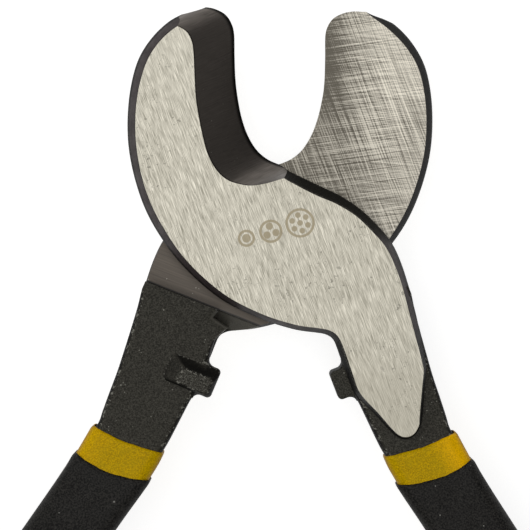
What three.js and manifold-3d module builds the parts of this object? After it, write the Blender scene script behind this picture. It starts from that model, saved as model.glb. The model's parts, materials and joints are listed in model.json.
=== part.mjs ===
// Hand cable cutter, 250 mm class: two forged halves on a lap joint, a stud with its washers and lock nut, and
// two dipped grips of two coats each. Millimetres, +Z up out of the front face, +Y towards the jaws. The origin
// is on the pivot axis, in the flat end of the stud.
import * as THREE from "three";
import { mergeVertices } from "three/addons/utils/BufferGeometryUtils.js";
import Module from "manifold-3d";

const wasm = await Module();
wasm.setup();

// ---- driving dimensions ----
const JAW_THICKNESS = 7;            // shear plane to ground face, each half
const SHEAR_GAP = 0.15;             // each half stays this far from the shear plane
const SHANK_THICKNESS = 9;          // centred on the shear plane
const DRAFT_DEPTH = 2.5;            // height of the sloped band round the jaw plate
const DRAFT_INSET = 1.2;            // how far that band leans in
const EDGE_SLANT = [-7.2, -4.2];    // how far the bevel runs back over the jaw's thickness
const STOP_ANGLE = 21.6;            // degrees that each half closes before the stops meet
const STOP_REACH = 6.5;             // height of the stop bar off the shear plane
const SHOULDER_DISTANCE = 17.9;     // pivot to the shoulder that ends the lap
const SHOULDER_ANGLE = 20.8;        // direction of that distance, from -Y
const RELIEF_RADIUS = 20.4;         // pocket that the other half's heel turns in
const RELIEF_ANGLE = 37.6;          // where the pocket ends, from -Y
const JOURNAL_RADIUS = 6;
const THREAD_RADIUS = 5;
const RUNNING_FIT = 0.2;            // radial play round the stud
const BLIND_DEPTH = 4.8;            // tapped hole in the front half
const WASHER = { inner: 5.3, outer: 11, top: -7.2, bottom: -8.2 };
const SPRING_WASHER = { inner: 5.3, outer: 9.6, thickness: 0.7, rise: 0.6, top: -8.4 };
const NUT = { flats: 16, top: -9.9, collar: -13.9, bottom: -15.2, collarRadius: 7.4 };
const INSERT = { inner: 5.2, outer: 6.4, top: -14, bottom: -15 };
const STUD_END = -15.6;
const HANDLE_START = [29.2, -41];   // middle of the shank where the coats begin
const HANDLE_HEADING = 31.5;        // degrees outward from -Y
const FLARE = { length: 28, turn: 2.4 };     // turn is in degrees, outward when positive
const BOW = { length: 128, turn: -19 };
const TANG = { width: 12.4, thickness: 7, length: 148 };
const UNDERCOAT = { width: 14.6, thickness: 9.8, length: 151, starts: [1.7, -1.7] };
const OVERCOAT = { width: 15.6, thickness: 12.4, length: 156, starts: [7.4, 3.6] };
const COAT_GAP = 0.2;

const FORGED = { color: 0xb9b4a8, roughness: 0.45, metalness: 0.9 };
const STEEL = { color: 0x8d8f92, roughness: 0.4, metalness: 1 };
const NYLON = { color: 0xe8e4d8, roughness: 0.6, metalness: 0 };
const YELLOW_VINYL = { color: 0xd9a400, roughness: 0.45, metalness: 0 };
const BLACK_VINYL = { color: 0x2b2a29, roughness: 0.8, metalness: 0 };

// ---- helpers ----
const radians = THREE.MathUtils.degToRad;
const pairs = (list) => list.map(([x, y]) => new THREE.Vector2(x, y));
const polar = (radius, degrees) => [radius * Math.sin(radians(degrees)), -radius * Math.cos(radians(degrees))];

function through(points, steps) {
  return new THREE.SplineCurve(pairs(points)).getPoints(steps);
}

function solid(geometry) {
  const bare = geometry.clone();
  bare.deleteAttribute("normal");
  bare.deleteAttribute("uv");
  const merged = mergeVertices(bare, 1e-4);
  return new wasm.Manifold(new wasm.Mesh({
    numProp: 3,
    vertProperties: new Float32Array(merged.attributes.position.array),
    triVerts: new Uint32Array(merged.index.array),
  }));
}

function plate(outline, bottom, top, edge = { size: 0, depth: 0, segments: 1 }) {
  const geometry = new THREE.ExtrudeGeometry(new THREE.Shape(outline), {
    depth: top - bottom - 2 * edge.depth,
    bevelEnabled: edge.size > 0,
    bevelSize: edge.size,
    bevelOffset: -edge.size,
    bevelThickness: edge.depth,
    bevelSegments: edge.segments,
    steps: 1,
  });
  geometry.translate(0, 0, bottom + edge.depth);
  return geometry;
}

function pin(radius, bottom, top) {
  const geometry = new THREE.CylinderGeometry(radius, radius, top - bottom, 40);
  geometry.rotateX(Math.PI / 2);
  geometry.translate(0, 0, (top + bottom) / 2);
  return geometry;
}

function ring(profile) {
  const geometry = new THREE.LatheGeometry(pairs(profile), 40);
  geometry.rotateX(Math.PI / 2);
  return geometry;
}

function meshOf(name, shape, look) {
  let geometry = shape;
  if (!shape.isBufferGeometry) {
    const data = shape.getMesh();
    geometry = new THREE.BufferGeometry();
    geometry.setAttribute("position", new THREE.BufferAttribute(data.vertProperties, 3));
    geometry.setIndex(new THREE.BufferAttribute(data.triVerts, 1));
    geometry.computeVertexNormals();
  }
  const mesh = new THREE.Mesh(geometry, new THREE.MeshStandardMaterial(look));
  mesh.name = name;
  return mesh;
}

// ---- handle centre line: a slight outward arc, then the long bow inward ----
function handlePoint(s, side) {
  const along = (place, heading, length, radius) => {
    const next = heading + length / radius;
    const x = place[0] + radius * (Math.cos(heading) - Math.cos(next));
    const y = place[1] - radius * (Math.sin(next) - Math.sin(heading));
    return [[x, y], next];
  };
  const flare = FLARE.length / radians(FLARE.turn);
  const bow = BOW.length / radians(BOW.turn);
  let [place, heading] = along(HANDLE_START, radians(HANDLE_HEADING), Math.min(s, FLARE.length), flare);
  if (s > FLARE.length) {
    [place, heading] = along(place, heading, s - FLARE.length, bow);
  }
  return [place[0] + side * Math.cos(heading), place[1] + side * Math.sin(heading)];
}

// A strip along the handle with a round end; starts gives its outer and inner starting places.
function strip(halfWidth, length, starts) {
  const steps = 22;
  const nose = halfWidth;
  const edge = (sign, start) => {
    const points = [];
    for (let i = 0; i <= steps; i++) {
      points.push(handlePoint(start + ((length - nose - start) * i) / steps, sign * halfWidth));
    }
    return points;
  };
  const cap = [];
  for (let i = 1; i < 8; i++) {
    const turn = (Math.PI * i) / 8;
    cap.push(handlePoint(length - nose + nose * Math.sin(turn), halfWidth * Math.cos(turn)));
  }
  return pairs([...edge(1, starts[0]), ...cap, ...edge(-1, starts[1]).reverse()]);
}

// ---- outlines of one half, seen from its ground face ----
const outerEdge = through([
  [-19.5, 44.6], [-25.2, 40.1], [-28.8, 34.2], [-30.4, 25.5], [-29.9, 16], [-27.2, 6.6], [-22.9, -1.2],
  [-15.3, -9.3], [-7.2, -14.6], [-0.8, -17], [6.8, -18.8],
], 44);
const tongueEdge = through([
  [9.8, -19.2], [12.2, -22], [14.2, -27.3], [16.6, -32.4], [23.4, -39.6], [25.8, -40.6], [28.6, -39.4],
  [30.1, -35.5], [30.4, -28], [29.6, -20.8], [26.4, -9.3], [22.7, -0.8], [16.4, 5.8], [8.3, 10.3], [1.7, 13.5],
], 48);
const beyondEdge = pairs([[-1, 17], [-4, 24], [-5, 40], [-8, 48], [-17, 48.5]]);
const cuttingEdge = through([
  [-20.5, 44.1], [-16.3, 45.4], [-12.1, 44.7], [-9.9, 42.2], [-9.3, 38], [-8.8, 30], [-7.5, 23.6], [-5.6, 19],
  [-2.6, 15.9], [1.5, 14.3], [5, 14.7], [9, 16.2],
], 44);
const throat = [...cuttingEdge, ...pairs([[34, 30], [34, 64], [-34, 64], [-34, 50]])];

const shoulderEnd = polar(SHOULDER_DISTANCE / Math.cos(radians(RELIEF_ANGLE - SHOULDER_ANGLE)), RELIEF_ANGLE);
const reliefArc = [0, 1, 2, 3].map((i) => polar(RELIEF_RADIUS, RELIEF_ANGLE - 3.5 * i));
const shankOutline = [
  ...pairs([[26.1, -9.3], shoulderEnd, ...reliefArc]),
  ...through([[11.4, -20.7], [14, -26], [16.5, -32.2], handlePoint(-3.4, -7.1)], 12),
  ...pairs([handlePoint(-2, -6.2), handlePoint(1.4, 6.2)]),
  ...through([handlePoint(0.2, 7.2), [31.4, -27.3], [28.6, -17.9], [27.1, -12.1]], 12),
];
const tangOutline = strip(TANG.width / 2, TANG.length, [-4, -6]);

// The stop is a bar across the shank whose end face lies on a line through the pivot.
function stopFace(radius) {
  const clearance = THREE.MathUtils.radToDeg(SHEAR_GAP / radius);
  return polar(radius, STOP_ANGLE + clearance);
}
const stopOutline = pairs([stopFace(28.9), stopFace(34.4), [13.9, -32.2], [22.8, -28.4], [20.6, -23.2], [12, -26]]);

// ---- one half ----
function forging(boreRadius, boreTop) {
  const draft = { size: DRAFT_INSET, depth: DRAFT_DEPTH, segments: 1 };
  const softEdge = { size: 1, depth: 1, segments: 2 };
  const jaw = solid(plate([...outerEdge, ...tongueEdge, ...beyondEdge], SHEAR_GAP, JAW_THICKNESS, draft));
  const bevelTool = plate(throat, -1, JAW_THICKNESS + 1);
  const [slantX, slantY] = EDGE_SLANT.map((run) => run / JAW_THICKNESS);
  bevelTool.applyMatrix4(new THREE.Matrix4().makeShear(0, 0, 0, 0, slantX, slantY));
  const half = SHANK_THICKNESS / 2;
  const shank = solid(plate(shankOutline, -half, half, softEdge));
  const tang = solid(plate(tangOutline, -TANG.thickness / 2, TANG.thickness / 2, softEdge));
  const stop = solid(plate(stopOutline, -STOP_REACH, 3, { size: 0.5, depth: 0.5, segments: 1 }));
  return jaw.subtract(solid(bevelTool)).add(shank).add(tang).add(stop).subtract(solid(pin(boreRadius, -1, boreTop)));
}

function turnedOver(half) {
  return half.rotate([0, 180, 0]);
}

// ---- coats: sleeves closed at the far end ----
function coat(outer, inner) {
  const round = { size: 3.4, depth: 3.4, segments: 3 };
  const hollowEdge = { size: 1.6, depth: 1.6, segments: 2 };
  const outline = strip(outer.width / 2, outer.length, outer.starts);
  const skin = plate(outline, -outer.thickness / 2, outer.thickness / 2, round);
  const width = inner.width / 2 + COAT_GAP;
  const depth = inner.thickness / 2 + COAT_GAP;
  const hollow = plate(strip(width, inner.length + COAT_GAP, [-12, -12]), -depth, depth, hollowEdge);
  return solid(skin).subtract(solid(hollow));
}

// ---- pivot set ----
function studGeometry() {
  const profile = [
    [0, STUD_END], [THREAD_RADIUS - 0.6, STUD_END], [THREAD_RADIUS, STUD_END + 0.6], [THREAD_RADIUS, -7.1],
    [JOURNAL_RADIUS, -6.9], [JOURNAL_RADIUS, -0.1], [THREAD_RADIUS, -0.1], [THREAD_RADIUS, BLIND_DEPTH - 0.9],
    [THREAD_RADIUS - 0.6, BLIND_DEPTH - 0.3], [0, BLIND_DEPTH - 0.3],
  ];
  return ring(profile);
}

function ringOf(size) {
  return ring([[size.inner, size.bottom], [size.outer, size.bottom], [size.outer, size.top], [size.inner, size.top],
    [size.inner, size.bottom]]);
}

function springWasherGeometry() {
  const { inner, outer, thickness, rise, top } = SPRING_WASHER;
  return ring([[inner, top - rise - thickness], [outer, top - thickness], [outer, top], [inner, top - rise],
    [inner, top - rise - thickness]]);
}

function nutSolid() {
  const corner = NUT.flats / 2 / Math.cos(Math.PI / 6);
  const hexagon = [0, 1, 2, 3, 4, 5].map((i) => polar(corner, 60 * i));
  const body = solid(plate(pairs(hexagon), NUT.collar, NUT.top));
  const collar = solid(pin(NUT.collarRadius, NUT.bottom, NUT.collar + 1));
  const hole = solid(pin(THREAD_RADIUS + RUNNING_FIT, NUT.bottom - 1, NUT.top + 1));
  const pocket = solid(pin(INSERT.outer + RUNNING_FIT, NUT.bottom - 1, INSERT.top + RUNNING_FIT));
  return body.add(collar).subtract(hole).subtract(pocket);
}

// ---- assembly ----
const cutter = new THREE.Group();
cutter.position.z = -STUD_END;
const frontHalf = forging(THREAD_RADIUS + RUNNING_FIT, BLIND_DEPTH);
const rearHalf = turnedOver(forging(JOURNAL_RADIUS + RUNNING_FIT, JAW_THICKNESS + 1));
const undercoat = coat(UNDERCOAT, TANG);
const overcoat = coat(OVERCOAT, UNDERCOAT);
cutter.add(
  meshOf("front_jaw_half", frontHalf, FORGED),
  meshOf("rear_jaw_half", rearHalf, FORGED),
  meshOf("pivot_stud", studGeometry(), STEEL),
  meshOf("flat_washer", ringOf(WASHER), STEEL),
  meshOf("spring_washer", springWasherGeometry(), STEEL),
  meshOf("pivot_nut", nutSolid(), STEEL),
  meshOf("nut_locking_insert", ringOf(INSERT), NYLON),
  meshOf("front_grip_undercoat", undercoat, YELLOW_VINYL),
  meshOf("front_grip_overcoat", overcoat, BLACK_VINYL),
  meshOf("rear_grip_undercoat", turnedOver(undercoat), YELLOW_VINYL),
  meshOf("rear_grip_overcoat", turnedOver(overcoat), BLACK_VINYL),
);

export default cutter;
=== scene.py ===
"""Looks for the hand cable cutter: two forged halves, the pivot set and four dipped vinyl coats."""
import json
import math

import bmesh
import bpy
import numpy as np
from mathutils import Matrix, Vector


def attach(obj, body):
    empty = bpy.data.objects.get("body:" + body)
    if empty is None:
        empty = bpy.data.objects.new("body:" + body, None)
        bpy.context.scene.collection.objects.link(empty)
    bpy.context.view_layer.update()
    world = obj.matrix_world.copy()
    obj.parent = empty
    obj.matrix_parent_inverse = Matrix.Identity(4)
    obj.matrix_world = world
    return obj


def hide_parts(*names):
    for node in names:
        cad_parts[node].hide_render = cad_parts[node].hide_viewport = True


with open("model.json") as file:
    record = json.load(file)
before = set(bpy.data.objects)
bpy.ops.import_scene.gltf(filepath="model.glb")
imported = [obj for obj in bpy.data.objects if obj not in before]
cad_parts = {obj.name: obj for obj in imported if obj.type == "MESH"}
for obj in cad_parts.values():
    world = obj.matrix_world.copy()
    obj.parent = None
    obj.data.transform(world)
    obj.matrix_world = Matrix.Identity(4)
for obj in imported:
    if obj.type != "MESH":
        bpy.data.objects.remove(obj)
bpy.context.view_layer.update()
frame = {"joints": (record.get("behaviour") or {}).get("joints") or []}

# Shapes are worked out in millimetres round the pivot, with the shear plane at z = 0, and seen from a half's
# own ground face. place() makes them metres and sets the object at the pivot, the rear half turned over, so
# Object coordinates in a material are the half's own frame for both halves.
PIVOT = Vector(frame["joints"][0]["pos_m"])
MM = 0.001

JAW_THICKNESS = 7.0
SHEAR_GAP = 0.06                                     # distance of each lap face from the shear plane
SHANK_HALF = 4.5
SHOULDER = 17.9                                      # distance of the lap's shoulder from the pivot
SHOULDER_HEADING = 20.8                              # its direction in degrees, from -Y towards +X
SHOULDER_NORMAL = (math.sin(math.radians(SHOULDER_HEADING)), -math.cos(math.radians(SHOULDER_HEADING)), 0.0)
EDGE_SLANT = np.array([-7.2, -4.2]) / JAW_THICKNESS  # how far the bevel runs back per mm of height
GROUND, BEVEL, COAT, SHEAR, BAND = range(5)          # material slots of a forging
HANDLE_START = (29.2, -41.0)
HANDLE_HEADING = math.radians(31.5)
FLARE = (28.0, math.radians(2.4))                    # length and outward turn of the handle's first arc
BOW = (128.0, math.radians(-19.0))                   # the same of the long arc back inward
FORGING_CREASE = 24                                  # degrees from which an edge stays sharp
COAT_CREASE = 50
TURNED_CREASE = 30


# ------------------------------------------------------------------------------------------------ helpers
def spline(controls, spacing, closed=False):
    """Catmull-Rom curve through the rows of controls, whose first two columns are x and y."""
    c = np.array(controls, float)
    c = np.vstack([c[-1], c, c[:2]]) if closed else np.vstack([2 * c[0] - c[1], c, 2 * c[-1] - c[-2]])
    out = []
    for a, b, d, e in zip(c, c[1:], c[2:], c[3:]):
        steps = max(1, int(np.ceil(np.linalg.norm((d - b)[:2]) / spacing)))
        for t in np.arange(steps) / steps:
            out.append(0.5 * (2 * b + (d - a) * t + (2 * a - 5 * b + 4 * d - e) * t ** 2
                              + (3 * b - a - 3 * d + e) * t ** 3))
    if not closed:
        out.append(c[-2])
    return np.array(out)


def inward(ring):
    """Unit normals that point into a counter-clockwise ring."""
    along = np.roll(ring, -1, 0) - np.roll(ring, 1, 0)
    along /= np.linalg.norm(along, axis=1, keepdims=True)
    return np.stack([-along[:, 1], along[:, 0]], 1)


def polar(radius, degrees):
    """Point at a radius from the pivot, its direction measured from -Y towards +X."""
    return [radius * math.sin(math.radians(degrees)), -radius * math.cos(math.radians(degrees))]


def smooth(x, low, high):
    """0 below low, 1 above high, eased between."""
    t = np.clip((np.asarray(x, float) - low) / (high - low), 0, 1)
    return t * t * (3 - 2 * t)


def mesh_object(name, points, faces, materials, indices=None):
    """New object in the scene; indices are the faces' material slots."""
    mesh = bpy.data.meshes.new(name)
    mesh.from_pydata([tuple(p) for p in points], [], faces)
    for material in materials:
        mesh.materials.append(material)
    if indices is not None:
        mesh.polygons.foreach_set("material_index", indices)
    mesh.update()
    thing = bpy.data.objects.new(name, mesh)
    bpy.context.scene.collection.objects.link(thing)
    return thing


def loft(name, levels, materials, slots):
    """Closed solid through a stack of rings. Slots are the materials of the bottom cap, each band and the top
    cap, or of the bottom, all bands and the top."""
    count, bands = len(levels[0]), len(levels) - 1
    faces, indices = [tuple(range(count - 1, -1, -1))], [slots[0]]
    for k in range(bands):
        for i in range(count):
            j = (i + 1) % count
            faces.append((k * count + i, k * count + j, (k + 1) * count + j, (k + 1) * count + i))
            indices.append(slots[1 + k] if len(slots) > 3 else slots[1])
    faces.append(tuple(bands * count + i for i in range(count)))
    indices.append(slots[-1])
    return mesh_object(name, np.vstack(levels), faces, materials, indices)


def level(ring, z, inset=0.0):
    """A ring's points at height z, moved inward by inset."""
    xy = ring[:, :2] + inward(ring[:, :2]) * np.broadcast_to(inset, len(ring))[:, None]
    return np.column_stack([xy, np.broadcast_to(z, len(ring))])


def combine(base, tool, operation):
    """Exact boolean of two closed solids; the tool is used up."""
    step = base.modifiers.new("join", "BOOLEAN")
    step.operation, step.object, step.solver, step.material_mode = operation, tool, "EXACT", "INDEX"
    bpy.context.view_layer.update()
    made = bpy.data.meshes.new_from_object(base.evaluated_get(bpy.context.evaluated_depsgraph_get()))
    base.modifiers.clear()
    base.data = made
    bpy.data.objects.remove(tool)
    return base


def clean(thing, near=0.004, thin=0.002, passes=4):
    """Merges the points that a boolean leaves less than near mm apart, and turns the longest edge of each
    triangle that is less than thin mm high."""
    mesh = bmesh.new()
    mesh.from_mesh(thing.data)
    bmesh.ops.remove_doubles(mesh, verts=mesh.verts, dist=near)
    bmesh.ops.triangulate(mesh, faces=mesh.faces)
    for _ in range(passes):
        for face in list(mesh.faces):
            if not face.is_valid:
                continue
            longest = max(face.edges, key=lambda edge: edge.calc_length())
            if 2 * face.calc_area() < thin * longest.calc_length() and len(longest.link_faces) == 2:
                bmesh.utils.edge_rotate(longest, True)
    mesh.to_mesh(thing.data)
    mesh.free()


def place(thing, turned=False):
    """Turns millimetres into metres and sets the object at the pivot, turned over for the rear half."""
    thing.data.transform(Matrix.Scale(MM, 4))
    turn = Matrix.Rotation(math.pi if turned else 0.0, 4, "Y")
    thing.matrix_world = Matrix.Translation(PIVOT) @ turn
    return thing


def shade(thing, angle):
    """Smooth shading, with the creases above angle degrees kept sharp."""
    thing.data.polygons.foreach_set("use_smooth", [True] * len(thing.data.polygons))
    thing.data.set_sharp_from_angle(angle=math.radians(angle))
    weighted = thing.modifiers.new("weighted_normals", "WEIGHTED_NORMAL")
    weighted.keep_sharp = True
    weighted.weight = 100
    return thing


# ---------------------------------------------------------------------------------------------- materials
class Nodes:
    """Small wrapper that adds linked shader nodes. Lengths are in millimetres, but for a bump's distance."""

    def __init__(self, name):
        self.material = bpy.data.materials.new(name)
        self.material.use_nodes = True
        self.tree = self.material.node_tree
        self.shader = self.tree.nodes["Principled BSDF"]
        self.place = self.tree.nodes.new("ShaderNodeTexCoord").outputs["Object"]

    def add(self, kind, settings=None, **inputs):
        node = self.tree.nodes.new("ShaderNode" + kind)
        for key, value in (settings or {}).items():
            setattr(node, key, value)
        for key, value in inputs.items():
            self.feed(node.inputs[int(key[1:]) if key[1:].isdigit() else key.replace("_", " ")], value)
        return node

    def feed(self, socket, value):
        if isinstance(value, bpy.types.NodeSocket):
            self.tree.links.new(value, socket)
        else:
            socket.default_value = value

    def math(self, operation, a, b=0.0, c=0.0):
        return self.add("Math", {"operation": operation}, i0=a, i1=b, i2=c).outputs[0]

    def mapped(self, scale=(1, 1, 1), angle=0.0):
        """Object coordinates in millimetres, turned about Z by angle degrees, then scaled."""
        turned = self.add("Mapping", Vector=self.place, Rotation=(0, 0, math.radians(angle)),
                          Scale=(1 / MM, 1 / MM, 1 / MM)).outputs[0]
        return self.add("Mapping", Vector=turned, Scale=scale).outputs[0]

    def coordinate(self, axis):
        return self.add("SeparateXYZ", Vector=self.mapped()).outputs[axis]

    def along(self, direction):
        """Distance from the pivot in a direction."""
        return self.vector("DOT_PRODUCT", self.mapped(), direction).outputs["Value"]

    def from_axis(self):
        """Distance from the pivot axis."""
        flat = self.vector("MULTIPLY", self.mapped(), (1, 1, 0)).outputs[0]
        return self.add("VectorMath", {"operation": "LENGTH"}, i0=flat).outputs["Value"]

    def facing(self):
        """1 on faces square to the pivot axis, 0 on walls along it."""
        normal = self.add("TexCoord").outputs["Normal"]
        return self.math("ABSOLUTE", self.add("SeparateXYZ", Vector=normal).outputs["Z"])

    def vector(self, operation, a, b):
        return self.add("VectorMath", {"operation": operation}, i0=a, i1=b)

    def noise(self, where, scale, detail=2.0, roughness=0.5):
        return self.add("TexNoise", Vector=where, Scale=scale, Detail=detail,
                        Roughness=roughness).outputs["Fac"]

    def ramp(self, value, low, high, to_low=0.0, to_high=1.0, curve="SMOOTHSTEP"):
        """Takes low to to_low and high to to_high, and stays between them."""
        return self.add("MapRange", {"interpolation_type": curve}, Value=value, From_Min=low, From_Max=high,
                        To_Min=to_low, To_Max=to_high).outputs[0]

    def mix(self, factor, a, b):
        node = self.add("Mix", {"data_type": "RGBA"}, i0=factor)
        self.feed(node.inputs[6], (*a, 1) if isinstance(a, tuple) else a)
        self.feed(node.inputs[7], (*b, 1) if isinstance(b, tuple) else b)
        return node.outputs[2]

    def bump(self, height, strength, distance):
        return self.add("Bump", Height=height, Strength=strength, Distance=distance).outputs[0]

    def finish(self, color, roughness, normal=None, metallic=0.0, **sockets):
        self.feed(self.shader.inputs["Base Color"], color)
        self.feed(self.shader.inputs["Roughness"], roughness)
        self.shader.inputs["Metallic"].default_value = metallic
        if normal is not None:
            self.feed(self.shader.inputs["Normal"], normal)
        for key, value in sockets.items():
            self.shader.inputs[key.replace("_", " ")].default_value = value
        return self.material


def lines(n, angle, width, length, reach=30.0, spread=0.16):
    """0 to 1 pattern of scratches that run at angle degrees from +X. Each is width mm wide and straight over
    reach mm, and shows for about length mm."""
    straight = n.noise(n.mapped((1 / reach, 1 / width, 0.4), -angle), 1.0, 1.0, 0.5)
    shown = n.noise(n.mapped((1 / length, 0.35 / width, 0.4), -angle), 1.0, 1.0, 0.5)
    shown = n.ramp(shown, 0.36, 0.6, 0.25, 1.0)
    signed = n.ramp(straight, 0.5 - spread, 0.5 + spread, -0.5, 0.5, "LINEAR")
    return n.math("ADD", n.math("MULTIPLY", signed, shown), 0.5)


def blend(n, *weighted):
    """Weighted sum of patterns."""
    total = 0.0
    for weight, pattern in weighted:
        total = n.math("MULTIPLY_ADD", pattern, weight, total)
    return total


def specks(n, spacing, size, patch, seed=0.0):
    """Sparse round dots, at most one per spacing millimetres, with radii up to size in scattered patches."""
    where = n.add("Mapping", Vector=n.mapped(), Location=(seed, 3.1 * seed, 0)).outputs[0]
    away = n.add("TexVoronoi", Vector=where, Scale=1 / spacing, Randomness=1.0).outputs["Distance"]
    radius = n.ramp(n.noise(where, 1 / patch, 1.0), 0.48, 0.7, 0.0, size / spacing)
    return n.math("LESS_THAN", away, radius)


def scuffs(n, scale, low, patch=0.12):
    """Scattered small irregular marks, fewer the higher low is."""
    small = n.ramp(n.noise(n.mapped(), scale, 3.0, 0.6), low, low + 0.03)
    return n.math("MULTIPLY", small, n.ramp(n.noise(n.mapped(), patch, 1.0), 0.5, 0.62))


def ground_steel():
    """Front face: short fine grinding lines that run down the tool, a few nicks, the etched mark, painted
    shade towards the tongue and a painted highlight towards the tip.
    """
    n = Nodes("ground_steel")
    tone = blend(n, (0.46, lines(n, 112, 0.13, 1.7, 2.4, 0.13)),
                 (0.34, lines(n, 109, 0.11, 2.6, 4.0, 0.13)),
                 (0.1, lines(n, 114, 0.25, 3.0, 8.0)),
                 (0.1, n.noise(n.mapped(), 2.2, 3.0, 0.6)))
    base = n.mix(n.ramp(tone, 0.13, 0.87, curve="LINEAR"), (0.30, 0.28, 0.215), (0.89, 0.845, 0.715))
    cloud = n.ramp(n.noise(n.mapped(), 0.06, 3.0), 0.42, 0.72, 0.0, 0.14)
    upward = n.coordinate("Y")
    # Painted shade: the face darkens towards the tongue, low down; the cloud blotches mixed in with it are
    # random tone.
    tongue = n.ramp(upward, -17.0, -31.0, 0.0, 0.5)
    base = n.mix(n.math("MAXIMUM", cloud, tongue), base, (0.43, 0.40, 0.315))
    # Painted highlight: the face lightens towards the jaw's tip.
    tip = n.ramp(upward, 24.0, 40.0, 0.0, 0.12)
    base = n.mix(tip, base, (0.95, 0.91, 0.79))
    nick = n.math("MAXIMUM", scuffs(n, 1.1, 0.635), scuffs(n, 2.4, 0.625, 0.2))
    base = n.mix(n.math("MULTIPLY", nick, 0.6), base, (0.14, 0.13, 0.10))
    base = n.mix(n.math("MULTIPLY", mark(n), 0.92), base, (0.35, 0.295, 0.19))
    relief = n.math("SUBTRACT", tone, n.math("MULTIPLY", nick, 1.5))
    return n.finish(base, n.ramp(tone, 0.0, 1.0, 0.55, 0.42), n.bump(relief, 0.25, 0.00003), 0.35)


def mark(n):
    """Etched row on the ground face: the ends of a plain, a three-strand and a seven-strand cable."""
    middle, tilt, line_width, soft = (-0.8, 1.2), math.radians(17), 0.5, 0.07
    where = n.add("Mapping", Vector=n.mapped(), Location=(-middle[0], -middle[1], 0)).outputs[0]
    where = n.add("Mapping", Vector=where, Rotation=(0, 0, -tilt)).outputs[0]
    flat = n.vector("MULTIPLY", where, (1, 1, 0)).outputs[0]

    def disc(x, y, radius):
        away = n.vector("DISTANCE", flat, (x, y, 0)).outputs["Value"]
        return n.ramp(away, radius - soft, radius + soft, 1.0, 0.0)

    # each cable's place along the row, ring radius, strand radius, distance of its strands from the middle,
    # how many of them, and whether one more lies in the middle
    cables = ((-5.6, 1.7, 0.85, 0.0, 1, False), (-0.6, 2.3, 0.72, 1.05, 3, False),
              (5.4, 2.9, 0.56, 1.6, 6, True))
    shape = 0.0
    for x, radius, strand, spread, strands, core in cables:
        ring = n.math("SUBTRACT", disc(x, 0, radius), disc(x, 0, radius - line_width))
        shape = n.math("MAXIMUM", shape, ring)
        for k in range(strands):
            turn = 2 * math.pi * k / strands + math.pi / 2
            dot = disc(x + spread * math.cos(turn), spread * math.sin(turn), strand)
            shape = n.math("MAXIMUM", shape, dot)
        if core:
            shape = n.math("MAXIMUM", shape, disc(x, 0, strand))
    return shape


def shear_steel():
    """Lap face: cross-hatched by grinding on the jaw, plain and dark round the pivot, with a painted shadow
    line at the foot of the shoulder.
    """
    n = Nodes("shear_steel")
    towards_jaw = n.along((-0.5, 0.866, 0))
    towards_throat = n.along((1, -0.12, 0))
    hatch = blend(n, (0.29, lines(n, 69, 0.13, 8.0, spread=0.12)),
                  (0.15, lines(n, 65, 0.26, 12.0)),
                  (0.05, lines(n, 70, 1.0, 22.0)),
                  (0.29, lines(n, 171, 0.13, 7.0, spread=0.12)),
                  (0.14, lines(n, 184, 0.26, 12.0)),
                  (0.08, n.noise(n.mapped((0.04, 0.3, 1), 4), 1.0, 2.0)))
    upward = n.coordinate("Y")
    near_edge = n.math("MULTIPLY", n.ramp(towards_throat, -21.0, -12.0, 0.0, 0.5), n.ramp(upward, 18.0, 34.0))
    near_crotch = n.ramp(upward, 22.0, 33.0, 0.1, 0.0)
    shadow = n.math("ADD", n.ramp(towards_throat, -29.0, -10.0, -0.03, 0.42), near_edge)
    shadow = n.math("ADD", shadow, near_crotch)
    hatch = n.math("SUBTRACT", n.ramp(hatch, 0.29, 0.63, curve="LINEAR"), shadow)
    jaw = n.mix(hatch, (0.11, 0.096, 0.070), (0.96, 0.90, 0.765))
    fine = blend(n, (0.6, lines(n, 200, 0.3, 16.0)), (0.4, lines(n, 204, 0.9, 30.0)))
    lap = n.mix(fine, (0.068, 0.055, 0.042), (0.128, 0.104, 0.081))
    dust = n.math("MAXIMUM", specks(n, 1.8, 0.22, 3.0), specks(n, 1.2, 0.15, 2.5, 9.0))
    lap = n.mix(n.math("MULTIPLY", dust, 0.6), lap, (0.42, 0.40, 0.34))
    # Painted shadow: a black line on the lap at the foot of the shoulder's wall.
    painted_step_shadow = n.ramp(n.along(SHOULDER_NORMAL), SHOULDER - 0.4, SHOULDER - 0.15, 0.0, 0.9)
    lap = n.mix(painted_step_shadow, lap, (0.008, 0.007, 0.006))
    base = n.mix(n.ramp(towards_jaw, 0.5, 3.0), lap, jaw)
    return n.finish(base, 0.5, n.bump(blend(n, (0.5, hatch), (0.5, fine)), 0.3, 0.00004), 0.3)


def bevel_steel():
    """Hollow bevel: dark drawn grinding marks, dust, and painted black shadow lines along both of its edges.
    """
    n = Nodes("bevel_steel")
    grind = lines(n, 28, 0.22, 7.0)
    broad = lines(n, 24, 1.4, 14.0)
    tone = blend(n, (0.6, grind), (0.4, broad))
    base = n.mix(tone, (0.088, 0.078, 0.068), (0.155, 0.136, 0.121))
    dust = n.math("MAXIMUM", specks(n, 2.2, 0.24, 5.0), specks(n, 1.1, 0.12, 3.0, 7.0))
    base = n.mix(n.math("MULTIPLY", dust, 0.55), base, (0.4, 0.38, 0.34))
    height = n.math("ABSOLUTE", n.coordinate("Z"))
    # Painted shadow: black lines along the cutting edge by the shear plane and along the top edge.
    painted_edge_shadow = n.math("MAXIMUM", n.ramp(height, 0.3, 0.85, 0.95, 0.0), n.ramp(height, 6.7, 6.9, 0.0, 0.7))
    base = n.mix(painted_edge_shadow, base, (0.008, 0.007, 0.006))
    return n.finish(base, n.ramp(tone, 0.0, 1.0, 0.42, 0.3), n.bump(tone, 0.25, 0.00003), 1.0)


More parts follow.
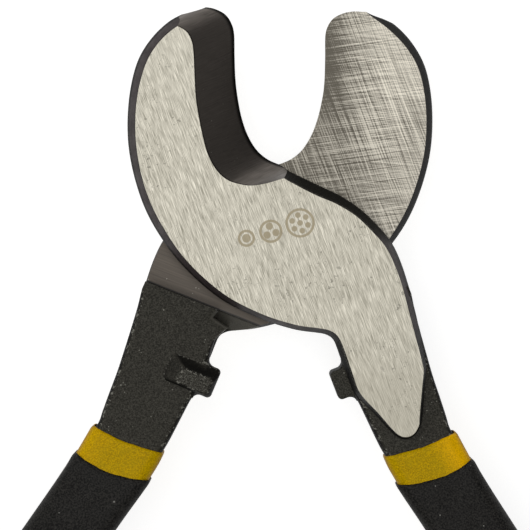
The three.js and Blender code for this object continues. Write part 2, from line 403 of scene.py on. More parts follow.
def band_steel():
    """Smooth linished rim of the jaw and neck, blacker where it runs out into the scale, with painted shadow
    along its lower and upper edges.
    """
    n = Nodes("band_steel")
    split = n.add("SeparateXYZ", Vector=n.mapped())
    across, upward, height = split.outputs["X"], split.outputs["Y"], n.math("ABSOLUTE", split.outputs["Z"])
    toward_throat = n.ramp(n.math("MULTIPLY_ADD", across, -0.2, upward), -9.0, -2.0)
    black = n.math("MULTIPLY", toward_throat, n.ramp(across, 0.0, 4.0))
    black = n.math("MAXIMUM", black, n.ramp(upward, -20.5, -16.0, 1.0, 0.0))
    cloud = n.noise(n.mapped(), 0.35, 4.0)
    fine = n.noise(n.mapped(), 2.2, 2.0)
    tone = n.ramp(blend(n, (0.6, cloud), (0.4, fine)), 0.35, 0.65)
    base = n.mix(tone, (0.038, 0.030, 0.030), (0.060, 0.048, 0.048))
    # Painted shadow: dark strips, broken by the fine noise, along the band's lower part by the widest ring
    # and at the front face.
    painted_edge_shadow = n.math("MAXIMUM", n.ramp(height, 4.1, 4.8, 0.95, 0.0), n.ramp(height, 6.5, 6.85, 0.0, 0.8))
    painted_edge_shadow = n.math("MULTIPLY", painted_edge_shadow, n.ramp(fine, 0.25, 0.5))
    black = n.math("MAXIMUM", n.math("MULTIPLY", black, 0.9), painted_edge_shadow)
    base = n.mix(black, base, (0.006, 0.0055, 0.0048))
    return n.finish(base, n.ramp(cloud, 0.3, 0.7, 0.6, 0.5), n.bump(fine, 0.2, 0.00005),
                    Specular_IOR_Level=0.12)


def forged_coat():
    """Black scale: rubbed a little brighter on the flats, chipped along the edges, painted shade on the
    slopes and painted light on the relief's steep wall.
    """
    n = Nodes("forged_coat")
    facing = n.facing()
    height = n.math("ABSOLUTE", n.coordinate("Z"))
    rubbed = n.ramp(height, 5.9, 6.4)
    grain = n.noise(n.mapped(), 3.4, 4.0, 0.7)
    lumps = n.noise(n.mapped(), 0.5, 3.0)
    base = n.mix(n.ramp(grain, 0.36, 0.68), (0.016, 0.0148, 0.011), (0.066, 0.062, 0.049))
    sloped = n.math("ADD", facing, n.ramp(height, 3.4, 4.2, 0.22, 0.0))
    beyond_shoulder = n.ramp(n.along(SHOULDER_NORMAL), SHOULDER + 0.1, SHOULDER + 0.3)
    relief = n.math("MULTIPLY", beyond_shoulder, n.ramp(n.from_axis(), 23.0, 24.5, 1.0, 0.0))
    relief = n.math("MULTIPLY", relief, n.ramp(n.coordinate("Z"), 3.0, 3.6, 1.0, 0.0))
    # Painted light: the relief's steep wall is lifted towards a lighter grey to offset its shade.
    painted_relief_light = n.math("MULTIPLY", relief, n.ramp(facing, 0.5, 0.97, 0.85, 0.0))
    base = n.mix(painted_relief_light, base, (0.14, 0.132, 0.112))
    # Painted shade: slopes that turn away from the light go near black, except in the relief.
    painted_slope_shade = n.math("MULTIPLY", n.ramp(sloped, 0.7, 0.98, 0.94, 0.0), n.math("SUBTRACT", 1.0, relief))
    base = n.mix(painted_slope_shade, base, (0.003, 0.0027, 0.0022))
    base = n.mix(n.math("MULTIPLY", rubbed, n.ramp(grain, 0.45, 0.7)), base, (0.13, 0.125, 0.105))
    edge = n.math("MULTIPLY", n.ramp(facing, 0.45, 0.7), n.ramp(facing, 0.93, 0.99, 1.0, 0.0))
    rim = n.math("MULTIPLY", n.ramp(height, 3.7, 4.1), n.ramp(height, 4.5, 4.7, 1.0, 0.0))
    edge = n.math("MULTIPLY", edge, n.math("MAXIMUM", rim, n.ramp(height, 5.9, 6.2)))
    worn = n.math("MULTIPLY", edge, n.ramp(n.noise(n.mapped(), 1.6, 3.0, 0.7), 0.56, 0.6))
    worn = n.math("MULTIPLY", worn, n.math("SUBTRACT", 1.0, relief))
    chips = n.math("MAXIMUM", specks(n, 1.5, 0.2, 3.0), specks(n, 0.8, 0.14, 2.0, 25.0))
    chips = n.math("MULTIPLY", chips, n.ramp(facing, 0.9, 0.97))
    base = n.mix(n.math("MULTIPLY", n.math("MAXIMUM", chips, worn), 0.5), base, (0.36, 0.35, 0.30))
    surface = n.bump(blend(n, (0.5, grain), (0.5, lumps)), 0.5, 0.00015)
    return n.finish(base, n.ramp(grain, 0.3, 0.7, 0.7, 0.55), surface, Specular_IOR_Level=0.15)


def yellow_vinyl():
    """Dipped vinyl: fine orange peel, a painted highlight towards the outer side, painted shade in deeper
    orange where it turns down.
    """
    n = Nodes("yellow_vinyl")
    across = (math.cos(HANDLE_HEADING), math.sin(HANDLE_HEADING), 0.0)
    side = n.math("SUBTRACT", n.along(across), HANDLE_START[0] * across[0] + HANDLE_START[1] * across[1])
    # Painted highlight: lighter and more orange towards the handle's outer side, strongest on the half's own
    # upper face.
    upper = n.ramp(n.coordinate("Z"), -1.0, 1.0, 0.25, 1.0)
    outward = n.math("MULTIPLY", n.ramp(side, 0.5, 5.5), upper)
    mottle = n.noise(n.mapped(), 1.1, 4.0, 0.6)
    fine = n.noise(n.mapped(), 3.6, 3.0, 0.65)
    peel = n.ramp(fine, 0.34, 0.66)
    base = n.mix(peel, (0.37, 0.222, 0.0), (0.68, 0.43, 0.0))
    base = n.mix(n.ramp(mottle, 0.4, 0.65, 0.0, 0.35), base, (0.42, 0.295, 0.0))
    base = n.mix(outward, base, n.mix(peel, (0.64, 0.355, 0.0), (0.95, 0.525, 0.0)))
    # Painted shade: deeper, darker orange where the coat turns down away from the face.
    base = n.mix(n.ramp(n.facing(), 0.1, 0.8, 0.85, 0.0), base, (0.34, 0.17, 0.0))
    surface = n.bump(blend(n, (0.4, mottle), (0.6, fine)), 0.4, 0.00012)
    return n.finish(base, n.ramp(mottle, 0.3, 0.7, 0.5, 0.4), surface, Specular_IOR_Level=0.05)


def black_vinyl():
    """Outer coat: matte, fine grained, with a little dust."""
    n = Nodes("black_vinyl")
    grain = n.noise(n.mapped(), 3.2, 4.0, 0.7)
    slow = n.noise(n.mapped(), 0.25, 2.0)
    base = n.mix(n.ramp(grain, 0.38, 0.64), (0.001, 0.0009, 0.0007), (0.031, 0.029, 0.0255))
    dust = n.math("MAXIMUM", specks(n, 1.9, 0.19, 2.5), specks(n, 3.6, 0.27, 3.5, 11.0))
    base = n.mix(n.math("MULTIPLY", dust, 0.6), base, (0.36, 0.35, 0.32))
    return n.finish(base, n.ramp(slow, 0.3, 0.7, 0.66, 0.58), n.bump(grain, 0.5, 0.00012),
                    Specular_IOR_Level=0.15)


def turned_steel(name, dark, light, roughness):
    """Fine turning marks round the pivot axis under a thin uneven plating."""
    n = Nodes(name)
    section = n.add("CombineXYZ", X=n.from_axis(), Y=n.coordinate("Z")).outputs[0]
    turning = n.noise(section, 5.0, 2.0)
    cloud = n.noise(n.mapped(), 0.8, 4.0, 0.6)
    tone = blend(n, (0.5, turning), (0.5, cloud))
    base = n.mix(n.ramp(tone, 0.36, 0.66), dark, light)
    stain = scuffs(n, 1.5, 0.62, 0.3)
    base = n.mix(n.math("MULTIPLY", stain, 0.4), base, tuple(0.4 * part for part in dark))
    uneven = n.ramp(cloud, 0.3, 0.7, roughness + 0.08, roughness - 0.06)
    return n.finish(base, uneven, n.bump(tone, 0.25, 0.00004), 0.9)


def insert_nylon():
    """Moulded off-white nylon."""
    n = Nodes("insert_nylon")
    fine = n.noise(n.mapped(), 1.6, 3.0)
    base = n.mix(n.ramp(fine, 0.35, 0.7), (0.62, 0.60, 0.52), (0.74, 0.72, 0.65))
    return n.finish(base, 0.5, n.bump(fine, 0.15, 0.00004))


# ------------------------------------------------------------------------------------------ handle centre
def handle(s, side):
    """Point on the handle, s mm along its centre line and side mm outward from it."""
    def arc(x, y, heading, length, radius):
        turned = heading + length / radius
        right = radius * (math.cos(heading) - math.cos(turned))
        down = radius * (math.sin(turned) - math.sin(heading))
        return x + right, y - down, turned

    x, y, heading = arc(*HANDLE_START, HANDLE_HEADING, min(s, FLARE[0]), FLARE[0] / FLARE[1])
    if s > FLARE[0]:
        x, y, heading = arc(x, y, heading, s - FLARE[0], BOW[0] / BOW[1])
    return [x + side * math.cos(heading), y + side * math.sin(heading)]


# -------------------------------------------------------------------------------------------- one forging
def jaw_plate(materials, fuller):
    """Jaw, neck and tongue. Each control is x, y, lean of the upper band, lean of the lower band, height of
    the widest ring. A fuller jaw, 1 for the rear half, is ground less, the more so towards its tip."""
    controls = [
        [-15.2, 46.3, 2.2, 0.5, 3], [-17.8, 44.85, 2.2, 1.1, 3], [-22.3, 42.45, 2.1, 1.8, 3],
        [-26.15, 38.5, 2.0, 1.75, 3], [-28.75, 33.5, 2.0, 1.6, 3], [-30.1, 26.0, 1.8, 1.45, 3],
        [-29.95, 17.5, 1.75, 1.35, 3], [-27.95, 9.0, 1.6, 1.3, 3], [-24.65, 1.75, 1.6, 1.25, 3],
        [-19.0, -5.8, 1.35, 0.9, 3], [-11.4, -12.35, 1.25, 0.8, 3], [-3.6, -16.15, 1.05, 0.6, 3],
        [3.4, -18.3, 1.05, 0.5, 3], [8.25, -18.95, 1.05, 0.5, 3], [10.2, -19.35, 1.1, 0.4, 3.4],
        [11.4, -20.25, 1.15, 0.35, 3.9], [12.2, -22.0, 1.2, 0.3, 4.2], [12.8, -23.65, 1.25, 0.3, 4.2],
        [14.15, -26.8, 1.05, 0.3, 4.2], [16.2, -31.0, 0.75, 0.3, 4.2], [19.9, -34.9, 0.7, 0.3, 4.2],
        [23.7, -38.75, 0.55, 0.3, 4.2], [25.9, -39.75, 0.65, 0.3, 4.2], [27.8, -38.95, 0.55, 0.3, 4.2],
        [29.0, -37.0, 0.55, 0.3, 4.2], [29.35, -35.0, 0.75, 0.3, 4.2], [29.75, -28.8, 0.7, 0.3, 4.2],
        [29.95, -26.0, 0.7, 0.3, 4.2], [29.85, -24.6, 0.85, 0.3, 4.2], [29.3, -21.5, 1.1, 0.3, 3.6],
        [27.65, -14.2, 1.5, 0.25, 3], [26.25, -9.3, 1.45, 0.25, 2.5], [24.65, -4.6, 1.6, 0.25, 2],
        [22.75, -0.75, 1.7, 0.3, 2], [20.0, 2.5, 1.8, 0.5, 2], [16.4, 5.8, 1.8, 0.7, 2],
        [12.4, 8.4, 2.0, 0.6, 1.5], [8.3, 10.3, 2.2, 0.4, 1], [4.3, 12.15, 2.1, 0.2, 0.6],
        [1.6, 13.5, 1.9, 0.1, 0.4], [-1.0, 15.9, 1.5, 0.1, 0.4], [-3.6, 20.0, 1.0, 0.1, 0.4],
        [-5.0, 30.0, 0.6, 0.1, 1], [-6.0, 40.0, 0.6, 0.1, 1], [-8.6, 45.6, 0.6, 0.1, 1],
        [-12.5, 47.8, 1.2, 0.1, 2]]
    point_spacing, swell_per_mm, swell_from = 0.7, 0.0165, -11.0
    ring = spline(controls, point_spacing, closed=True)
    swell = swell_per_mm * (ring[:, 1] - swell_from) * smooth(ring[:, 1], -8.0, 2.0) * (ring[:, 0] < 0)
    ring[:, :2] -= inward(ring[:, :2]) * fuller * swell[:, None]
    upper, lower, widest = ring[:, 2], ring[:, 3], ring[:, 4]
    levels = [level(ring, SHEAR_GAP, lower),
              level(ring, SHEAR_GAP + 0.6 * (widest - SHEAR_GAP), 0.25 * lower),
              level(ring, widest, 0.0),
              level(ring, widest + 0.25 * (JAW_THICKNESS - widest), 0.12 * upper),
              level(ring, JAW_THICKNESS, upper)]
    plate = loft("jaw_plate", levels, materials, (SHEAR, COAT, COAT, COAT, BAND, GROUND))
    shank_from = -20.5
    for face in plate.data.polygons:
        x, y, _ = face.center
        beside_throat = x > 1 and y > -2 + 0.2 * x
        if face.material_index == BAND and (y < shank_from or beside_throat):
            face.material_index = COAT
    return plate


def throat_tool(materials, fuller):
    """Slanted cylinder that leaves the cutting edge in the shear plane and the hollow bevel above it. Each
    control is x, y, and how much further than the slant the bevel runs back at the front face. A fuller jaw's
    edge stands up to 0.7 mm further into the throat, and its tip is 0.3 mm lower."""
    edge = spline([
        [-19.6, 45.5, 0.0], [-17.8, 45.65, 0.0], [-16.2, 45.7, 0.0], [-14.6, 45.7, 0.0], [-12.9, 45.3, 0.1],
        [-11.1, 44.3, 0.3], [-9.9, 42.6, 0.58], [-9.3, 40.4, 0.76], [-9.14, 36.0, 0.64], [-8.86, 31.2, 0.55],
        [-8.3, 27.3, 0.42], [-7.5, 23.7, 0.42], [-6.3, 20.4, 0.6], [-4.6, 17.6, 0.7], [-2.6, 15.8, 0.68],
        [-0.4, 14.75, 0.35], [1.9, 14.2, 0.03], [5.0, 14.75, 0.03], [9.0, 16.2, 0.2]], 0.5)
    outside = np.array([[30, 26, 0], [34, 64, 0], [-40, 64, 0], [-32, 46.4, 0]])
    forward = 0.045 * np.clip(edge[:, 1] - 29.0, 0.0, None) * smooth(edge[:, 0], -20.0, -10.0)
    edge[:, 0] += fuller * forward
    edge[:, 1] -= fuller * 0.3 * smooth(edge[:, 1], 40.0, 45.0)
    ring = np.vstack([outside, edge])
    slant = EDGE_SLANT - inward(ring[:, :2]) * ring[:, 2:] / JAW_THICKNESS
    levels = [np.column_stack([ring[:, :2] + slant * z, np.full(len(ring), z)])
              for z in (-1.0, SHEAR_GAP, JAW_THICKNESS, JAW_THICKNESS + 1.0)]
    return loft("throat_tool", levels, materials, (BEVEL, BEVEL, BEVEL, BEVEL, BEVEL))


def shank(materials):
    """Full-thickness shank from the lap's shoulder to the end of the tang under the grip. Near the crotch its
    back half is cut away round an arc, to let the other half's heel pass."""
    relief_radius, relief_start, relief_end = 20.5, 37.6, 27.5
    relief_round = 1.4
    outer_end = np.array([26.1, -9.3])
    shoulder_count, relief_count = 20, 14

    def lap_side(z):
        """Shoulder line, then the relief, whose upper edge is rounded; both open towards the back face."""
        depth = np.clip(1 - (SHANK_HALF + z) / relief_round, 0, 1)
        back = relief_round * (1 - math.sqrt(1 - depth ** 2))
        start = relief_start + math.degrees(back / relief_radius)
        end = relief_end + 1.7 * back
        corner = np.array(polar(SHOULDER / math.cos(math.radians(start - SHOULDER_HEADING)), start))
        shoulder = [(1 - t) * outer_end + t * corner for t in np.linspace(0, 1, shoulder_count)]
        arc = [polar(relief_radius + back, angle) for angle in np.linspace(start, end, relief_count)]
        return np.vstack([shoulder, arc])

    inner = [[12.0, -20.55], [12.5, -22.0], [12.9, -23.45], [13.5, -25.25], [15.6, -30.6], [17.4, -34.0],
             handle(-3.5, -7.15), handle(0, -7.0), handle(4, -7.1), handle(10, -6.6), handle(20, -6.0)]
    inner += [handle(s, -5.8) for s in range(40, 140, 20)] + [handle(143, -5.0), handle(146.5, -2.6)]
    outer = [handle(148, 0), handle(146.5, 2.6), handle(143, 5.0)]
    outer += [handle(s, 5.8) for s in range(120, 20, -20)]
    outer += [handle(20, 6.0), handle(10, 6.3), handle(4, 6.7), handle(0, 6.75), [34.2, -35.2], [33.0, -31.7],
              [31.4, -27.2], [29.9, -22.3], [28.6, -17.9], [27.6, -14.3], [27.1, -12.1], [26.75, -10.7]]
    sides = spline(inner + outer, 0.8)
    count = len(sides)
    rounding = np.minimum(1, np.arange(1, count + 1) / 5) * np.minimum(1, np.arange(count, 0, -1) / 4)
    rounding *= 1 + 0.4 * (smooth(-sides[:, 1], 36, 42) - smooth(-sides[:, 1], 60, 80))
    rounding = np.concatenate([np.zeros(shoulder_count + relief_count), rounding])
    profile = [(1.0, 1.35), (0.975, 0.75), (0.93, 0.45), (0.87, 0.22), (0.78, 0.08), (0.66, 0.02), (0.5, 0.0),
               (0.0, 0.0)]
    heights = [(-SHANK_HALF * h, inset) for h, inset in profile]
    heights += [(SHANK_HALF * h, inset) for h, inset in reversed(profile[:-1])]
    levels = [level(np.vstack([lap_side(z), sides]), z, inset * rounding) for z, inset in heights]
    return loft("shank", levels, materials, (COAT, COAT, COAT))


def pocket_tool(materials):
    """Wedge that slopes the plate away beyond the shoulder line, where the shank isn't over it."""
    normal = np.array([*SHOULDER_NORMAL[:2], 0.0])
    along = np.array([-normal[1], normal[0], 0.0])
    profile = [(SHOULDER, -1.0), (60.0, -1.0), (60.0, 3.4), (SHOULDER + 3.1, 3.4), (SHOULDER, 0.2)]
    ends = [np.array([normal * out + along * a + np.array([0, 0, z]) for out, z in profile])
            for a in (40, -40)]
    return loft("pocket_tool", ends, materials, (COAT, COAT, COAT))


def stop_bar(materials):
    """Closing stop: a bar across the shank, its end face on a line through the pivot, proud of the back, with
    fillets where it leaves the shank."""
    corner = np.array([12.9, -32.4])
    along = np.array([math.cos(math.radians(22.0)), math.sin(math.radians(22.0))])
    across = np.array([-along[1], along[0]])
    fillet_turns = np.radians([0, 18, 36, 54, 72, 90])

    def outline(z, low_a, high_a, low_b, high_b, radius, fillet=0.0):
        """Rounded rectangle: a runs from the stop face outward, b from the grip side to the jaw side."""
        start, reach = low_a + radius, high_a - low_a - 2 * radius
        flare = [(start + reach * (0.095 + 0.165 * math.sin(turn)), fillet * (1 - math.cos(turn)))
                 for turn in fillet_turns]
        flare += [(start + 0.33 * reach, fillet), (start + 0.57 * reach, 0.0)]
        points = []
        corners = ((high_a, low_b, -90), (high_a, high_b, 0), (low_a, high_b, 90), (low_a, low_b, 180))
        for a, b, first in corners:
            for step in range(7):
                turn = math.radians(first + 15 * step)
                points.append((a + radius * (math.cos(turn) + (1 if a == low_a else -1)),
                               b + radius * (math.sin(turn) + (1 if b == low_b else -1))))
            if first == 0:
                points += [(at, high_b + out) for at, out in reversed(flare)]
            if first == 180:
                points += [(at, low_b - out) for at, out in flare]
        return np.array([[*(corner + along * a + across * b), z] for a, b in points])

    levels = [outline(-6.5, 1.35, 6.3, 1.0, 3.3, 0.5), outline(-6.42, 1.05, 6.8, 0.72, 3.6, 0.7),
              outline(-6.15, 0.72, 7.5, 0.45, 3.95, 0.85), outline(-5.5, 0.4, 8.7, 0.22, 4.6, 0.9),
              outline(-4.8, 0.15, 9.9, 0.08, 5.4, 0.9), outline(-4.2, 0.0, 10.8, 0.0, 6.1, 0.9, 0.5),
              outline(-3.6, 0.0, 10.8, 0.0, 6.1, 0.9, 1.3), outline(2.0, 0.0, 10.6, 0.0, 5.95, 0.9, 1.3),
              outline(2.6, 0.06, 10.55, 0.06, 5.9, 0.9, 0.8), outline(2.85, 0.12, 10.5, 0.12, 5.83, 0.9, 0.4),
              outline(3.0, 0.45, 10.2, 0.45, 5.5, 0.9)]
    return loft("stop_bar", levels, materials, (COAT, COAT, COAT))


def bore_tool(radius, top, materials):
    """Round bore from below the lap face up to top."""
    turn = np.linspace(0, 2 * math.pi, 64, endpoint=False)
    ring = np.column_stack([radius * np.cos(turn), radius * np.sin(turn)])
    return loft("bore_tool", [level(ring, -1.0), level(ring, top)], materials, (COAT, COAT, COAT))


def forging(name, body, node, turned, bore, bore_top, materials):
    """One half in one piece of steel; turned is True for the rear half, whose jaw is the fuller one."""
    piece = combine(jaw_plate(materials, turned), throat_tool(materials, turned), "DIFFERENCE")
    piece = combine(piece, pocket_tool(materials), "DIFFERENCE")
    piece = combine(piece, shank(materials), "UNION")
    piece = combine(piece, stop_bar(materials), "UNION")
    piece = combine(piece, bore_tool(bore, bore_top, materials), "DIFFERENCE")
    piece.name = piece.data.name = name
    clean(piece)
    place(piece, turned)
    shade(piece, FORGING_CREASE)
    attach(piece, body)
    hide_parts(node)
    return piece


# ------------------------------------------------------------------------------------------- dipped coats
def table(s, rows, column):
    """A column of rows at the distance s, in proportion between two rows."""
    rows = np.array(rows)
    return np.interp(s, rows[:, 0], rows[:, column])


def rounded_section(wide_out, wide_in, high, radius):
    """Side and height of the points round a coat's section, corners rounded, ends of the flats included."""
    side, up = [], []
    corners = ((1, -1, -90), (1, 1, 0), (-1, 1, 90), (-1, -1, 180))
    flats = (5, 16, 5, 16)
    for (x, z, start), flat in zip(corners, flats):
        width = wide_out if x > 0 else wide_in
        for turn in np.radians(start + np.linspace(0, 90, 9)):
            side.append(x * (width - radius) + radius * math.cos(turn))
            up.append(z * (high - radius) + radius * math.sin(turn))
        following = {(1, -1): (wide_out, -(high - radius), wide_out, high - radius),
                     (1, 1): (wide_out - radius, high, radius - wide_in, high),
                     (-1, 1): (-wide_in, high - radius, -wide_in, radius - high),
                     (-1, -1): (radius - wide_in, -high, wide_out - radius, -high)}[(x, z)]
        for t in np.arange(1, flat) / flat:
            side.append(following[0] + t * (following[2] - following[0]))
            up.append(following[1] + t * (following[3] - following[1]))
    return np.array(side), np.array(up)


def coat(name, body, node, turned, material, rows, rim, walls, length, seed):
    """Sleeve closed at the far end. rows hold distance, outward and inward half width, half thickness and
    corner radius; rim(side) is where the dip line lies; walls are the thickness at the rim and deep down."""
    start, nose = rows[0][0], 9.0
    dense = start + np.array([0.0, 0.22, 0.5, 0.9, 1.5, 2.3, 3.4, 4.8, 6.5, 9, 12, 16, 20, 25])

    def places(end):
        """Distances of the rings of a skin that ends at end."""
        return np.concatenate([dense, np.linspace(start + 30, end - nose, 28),
                               end - nose * (1 - np.sin(np.linspace(0.12, math.pi / 2 - 0.06, 10)))])

    def ring(s, end, thin):
        ending = math.sqrt(1 - max(0.0, (s - end + nose) / nose) ** 2)
        wide_out, wide_in, high, radius = (table(s, rows, k) for k in (1, 2, 3, 4))
        wide_out, wide_in = (wide_out - thin) * ending, (wide_in - thin) * ending
        high = (high - thin) * (0.35 + 0.65 * ending)
        radius = min(max(0.5, radius - thin), 0.97 * high, 0.97 * min(wide_out, wide_in))
        side, up = rounded_section(wide_out, wide_in, high, radius)
        turn = np.arctan2(up, side)
        wave = 0.05 * np.sin(5 * turn + seed) + 0.03 * np.sin(13 * turn + 2 * seed) + 0.02 * np.sin(29 * turn)
        fade = 1 - smooth(s - start, 0, 16)
        along = s + fade * (rim(side) - start + wave)
        return np.array([[*handle(a, w), h] for a, w, h in zip(along, side, up)])

    thin, deep = walls
    inside = [ring(s, length - deep, thin + (deep - thin) * smooth(s, 14, 60))
              for s in places(length - deep)[::-1][:-1]]
    lip = [ring(start + 0.10, length, thin * 0.92), ring(start - 0.02, length, thin * 0.6),
           ring(start + 0.02, length, thin * 0.25)]
    outside = [ring(s, length, 0.0) for s in places(length)[1:]]
    piece = loft(name, inside + lip + outside, [material], (0, 0, 0))
    place(piece, turned)
    shade(piece, COAT_CREASE)
    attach(piece, body)
    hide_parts(node)
    return piece


UNDERCOAT_LENGTH = 152
UNDERCOAT_WALLS = (0.3, 0.3)
UNDERCOAT_ROWS = [
    (0.2, 7.3, 7.35, 4.85, 2.3), (0.8, 7.5, 7.6, 5.1, 2.6), (3, 7.4, 7.85, 5.05, 2.7),
    (8, 7.2, 7.9, 5.05, 2.7), (14, 6.85, 7.1, 5.0, 2.6), (30, 6.4, 6.4, 4.9, 2.4),
    (UNDERCOAT_LENGTH, 6.1, 6.1, 4.85, 2.4)]
OVERCOAT_LENGTH = 156
OVERCOAT_WALLS = (0.55, 1.25)
OVERCOAT_ROWS = [
    (6.9, 7.45, 8.15, 5.35, 2.3), (7.7, 7.6, 8.3, 5.6, 2.4), (10, 7.5, 8.2, 5.65, 2.6),
    (14, 7.5, 7.95, 5.9, 3.0), (22, 7.6, 7.75, 6.1, 3.5), (60, 7.75, 7.75, 6.2, 4.2),
    (110, 7.8, 7.8, 6.2, 4.4), (OVERCOAT_LENGTH, 7.6, 7.6, 6.1, 4.4)]


def undercoat_rim(side):
    """Dip line of the first coat, slanted and slightly bowed."""
    return 0.25 + 0.2 * side - 0.012 * side ** 2


def overcoat_rim(side):
    """Dip line of the grip, which leaves a band of the first coat showing."""
    return 7.2 + 0.2 * side - 0.022 * side ** 2


# --------------------------------------------------------------------------------------------- pivot set
THREAD_RADIUS = 5.0
THREAD_PITCH = 1.5
NUT_HALF_FLATS = 8.0
AROUND = 96                                          # points round a turned piece


def turned_ring(name, profile, material, half_flats=None):
    """Closed ring of revolution about the pivot axis. Profile rows are radius and height. With half_flats,
    what reaches past a hexagon of that inner radius is cut off."""
    points, faces = [], []
    for turn in np.linspace(0, 2 * math.pi, AROUND, endpoint=False):
        limit = math.inf
        if half_flats:
            limit = half_flats / math.cos((turn + math.pi / 6) % (math.pi / 3) - math.pi / 6)
        points += [(min(r, limit) * math.cos(turn), min(r, limit) * math.sin(turn), z) for r, z in profile]
    count = len(profile)
    for i in range(AROUND):
        j = (i + 1) % AROUND
        for k in range(count):
            m = (k + 1) % count
            faces.append((i * count + k, j * count + k, j * count + m, i * count + m))
    return mesh_object(name, points, faces, [material])


def threaded_stud(name, material):
    """Stud with a rolled thread below, a plain journal and a short thread into the front half."""
    turn = np.linspace(0, 2 * math.pi, AROUND, endpoint=False)

    def ring(z, radius):
        return np.column_stack([radius * np.cos(turn), radius * np.sin(turn), np.full(AROUND, z)])

    def thread(low, high):
        """Rings of a helical thread between two chamfered ends."""
        for z in np.arange(low, high, THREAD_PITCH / 9):
            tooth = 2 * np.abs((z / THREAD_PITCH - turn / (2 * math.pi)) % 1 - 0.5)
            radius = THREAD_RADIUS - 0.8 * np.clip(1.3 * tooth - 0.15, 0, 1)
            chamfer = THREAD_RADIUS - 0.9 + min(z - low, high - z)
            yield ring(z, np.minimum(radius, chamfer))

    journal = [(4.1, -7.15), (5.8, -7.1), (6.0, -6.9), (6.0, -0.25), (5.85, -0.1), (4.1, -0.08)]
    levels = [ring(-15.6, 4.05)] + list(thread(-15.55, -7.2)) + [ring(z, r) for r, z in journal]
    levels += list(thread(0.0, 4.4)) + [ring(4.45, 3.9)]
    return loft(name, levels, [material], (0, 0, 0))


def eased(corners, ease=0.12):
    """Profile with each corner cut by a small two-step rounding."""
    c = np.array(corners, float)
    out = []
    for before, here, after in zip(np.roll(c, 1, 0), c, np.roll(c, -1, 0)):
        back, on = before - here, after - here
        back, on = ease * back / np.linalg.norm(back), ease * on / np.linalg.norm(on)
        out += [here + back, here + 0.3 * (back + on), here + on]
    return out


def nut_profile():
    """Lock nut: hexagon chamfered at both ends, collar crimped round the insert's pocket."""
    face, collar, bottom = -9.9, -13.9, -15.2
    slope = math.tan(math.radians(30))
    steps = np.linspace(0, 1.6, 9)
    rows = [(5.2, -10.3), (5.6, face)]
    rows += [(7.8 + step, face - step * slope) for step in steps]
    rows += [(7.8 + step, collar + step * slope) for step in steps[::-1]]
    rows += [(7.45, collar - 0.03), (7.4, collar - 0.1), (7.4, -14.75), (7.32, -15.0), (7.12, -15.16),
             (6.9, bottom), (6.7, -15.17), (6.58, -15.05), (6.6, -14.9), (6.6, -13.8), (5.2, -13.8)]
    return rows[::-1]


def pivot_set():
    """Stud, two washers, lock nut and its nylon ring, all round the pivot axis."""
    pivot_steel = turned_steel("pivot_steel", (0.28, 0.28, 0.28), (0.44, 0.44, 0.44), 0.4)
    plated_steel = turned_steel("plated_steel", (0.34, 0.34, 0.33), (0.54, 0.54, 0.52), 0.42)
    washer = eased([(11, -8.2), (11, -7.2), (5.3, -7.2), (5.3, -8.2)])
    cone = eased([(9.6, -9.1), (9.6, -8.4), (5.3, -9.0), (5.3, -9.7)], 0.1)
    insert = eased([(6.4, -15.0), (6.4, -14.0), (5.05, -14.0), (5.05, -15.0)], 0.25)
    stud = threaded_stud("threaded_stud", pivot_steel)
    flat_washer = turned_ring("hardened_washer", washer, plated_steel)
    conical_washer = turned_ring("conical_washer", cone, plated_steel)
    nut = turned_ring("hexagon_lock_nut", nut_profile(), plated_steel, NUT_HALF_FLATS)
    nylon = turned_ring("nylon_lock_ring", insert, insert_nylon())
    pieces = ((stud, "front_half", "pivot_stud", "pivot_steel"),
              (flat_washer, "rear_half", "flat_washer", "plated_steel"),
              (conical_washer, "front_half", "spring_washer", "plated_steel"),
              (nut, "front_half", "pivot_nut", "plated_steel"),
              (nylon, "front_half", "nut_locking_insert", "insert_nylon"))
    for piece, body, node, slot in pieces:
        place(piece)
        shade(piece, TURNED_CREASE)
        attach(piece, body)
        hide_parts(node)


# ----------------------------------------------------------------------------------------------- the part
steels = [ground_steel(), bevel_steel(), forged_coat(), shear_steel(), band_steel()]
BLIND_BORE = (5.2, 4.8)                              # radius and top of the front half's threaded bore
THROUGH_BORE = (6.2, JAW_THICKNESS + 1.0)
forging("front_forging", "front_half", "front_jaw_half", False, *BLIND_BORE, steels)
forging("rear_forging", "rear_half", "rear_jaw_half", True, *THROUGH_BORE, steels)
yellow, black = yellow_vinyl(), black_vinyl()
for side, turned, seed in (("front", False, 0.4), ("rear", True, 2.1)):
    coat(f"{side}_yellow_undercoat", f"{side}_half", f"{side}_grip_undercoat", turned,
         yellow, UNDERCOAT_ROWS, undercoat_rim, UNDERCOAT_WALLS, UNDERCOAT_LENGTH, seed)
    coat(f"{side}_black_grip", f"{side}_half", f"{side}_grip_overcoat", turned, black,
         OVERCOAT_ROWS, overcoat_rim, OVERCOAT_WALLS, OVERCOAT_LENGTH, seed + 1.0)
pivot_set()


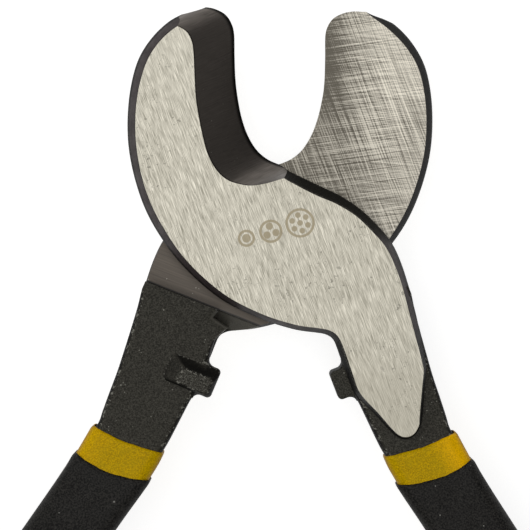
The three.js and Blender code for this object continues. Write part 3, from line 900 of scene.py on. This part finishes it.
# --------------------------------------------------------------------------------------- stage and camera
def studio():
    """White table under one wide overhead soft light, with a dim room round it."""
    reach = 20.0
    floor_mesh = bpy.data.meshes.new("studio_floor")
    corners = [(-reach, -reach, 0), (reach, -reach, 0), (reach, reach, 0), (-reach, reach, 0)]
    floor_mesh.from_pydata(corners, [], [(0, 1, 2, 3)])
    floor = bpy.data.objects.new("studio_floor", floor_mesh)
    bpy.context.scene.collection.objects.link(floor)
    n = Nodes("studio_floor_paint")
    paint = n.mix(n.noise(n.mapped(), 0.02, 2.0), (0.42, 0.42, 0.42), (0.45, 0.45, 0.45))
    floor_mesh.materials.append(n.finish(paint, 0.9, Emission_Color=(1, 1, 1, 1), Emission_Strength=0.8))

    world = bpy.data.worlds.new("studio_air")
    world.use_nodes = True
    world.node_tree.nodes["Background"].inputs["Color"].default_value = (1.0, 1.0, 1.0, 1)
    world.node_tree.nodes["Background"].inputs["Strength"].default_value = 0.12
    bpy.context.scene.world = world

    def area(name, place, size, energy, aim=(0, -0.02, 0)):
        light = bpy.data.lights.new(name, "AREA")
        light.shape, light.size, light.energy = "SQUARE", size, energy
        lamp = bpy.data.objects.new(name, light)
        lamp.location = place
        lamp.rotation_mode = "QUATERNION"
        lamp.rotation_quaternion = (Vector(aim) - Vector(place)).to_track_quat("-Z", "Y")
        bpy.context.scene.collection.objects.link(lamp)

    area("overhead", (-0.12, 0.05, 1.0), 1.0, 6.5)
    area("side", (-0.8, 0.3, 0.6), 0.5, 1.2)
    bpy.context.scene.view_settings.view_transform = "Standard"


def camera():
    """Long lens over the front face, the picture's width 106 mm in the shear plane, rolled by one degree."""
    distance, width, roll = 0.5, 0.106, math.radians(-1.0)
    offset = Vector((-2.5, -5.6, 0)) * MM
    data = bpy.data.cameras.new("camera")
    data.sensor_width = 36.0
    data.lens = data.sensor_width * distance / width
    data.clip_start, data.clip_end = 0.01, 100.0
    eye = bpy.data.objects.new("camera", data)
    turn = Matrix.Rotation(-roll, 4, "Z")
    back = Matrix.Translation(offset + Vector((0, 0, distance)))
    eye.matrix_world = Matrix.Translation(PIVOT) @ turn @ back
    bpy.context.scene.collection.objects.link(eye)
    bpy.context.scene.camera = eye


studio()
camera()
